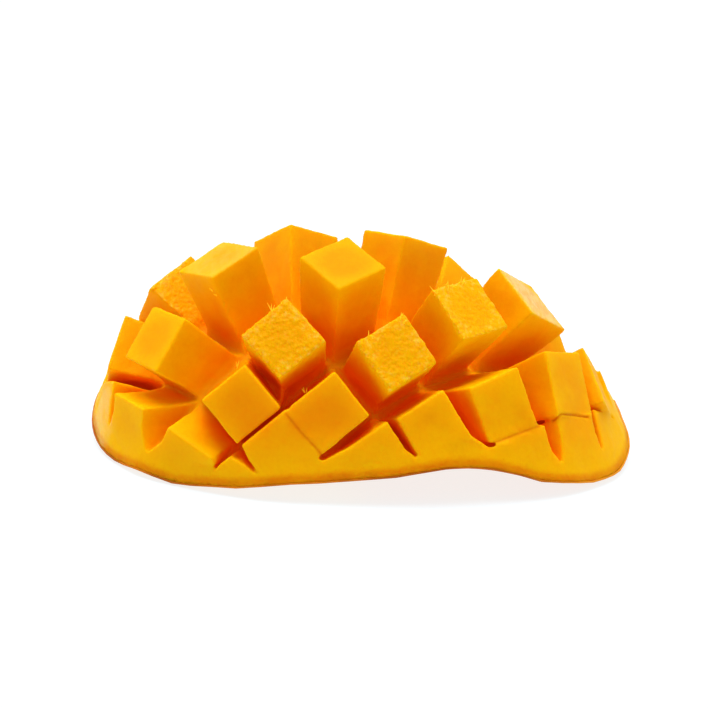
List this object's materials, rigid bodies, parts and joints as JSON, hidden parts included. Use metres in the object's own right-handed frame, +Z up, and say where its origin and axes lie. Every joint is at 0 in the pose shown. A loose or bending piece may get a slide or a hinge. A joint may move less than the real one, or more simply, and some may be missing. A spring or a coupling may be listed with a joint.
{
  "type": "cubed mango half",
  "caption": "Mango cheek scored in diagonal squares and turned inside out, so that its flesh stands up in leaning blocks on the bent skin.",
  "frame": {"origin": "middle of the footprint, at the height of the surface the half rests on", "axes": "+X along the half's length, to the right as its scored face is seen; -Y towards the side that the front blocks lean to; +Z up"},
  "size_m": [0.1254, 0.0788, 0.0511],
  "materials": {
    "flesh": "moist, faintly fibrous orange-yellow fruit flesh with cut faces, and a thin smooth skin underneath"
  },
  "bodies": {
    "root": {"mango_half": "flesh"}
  },
  "joints": []
}
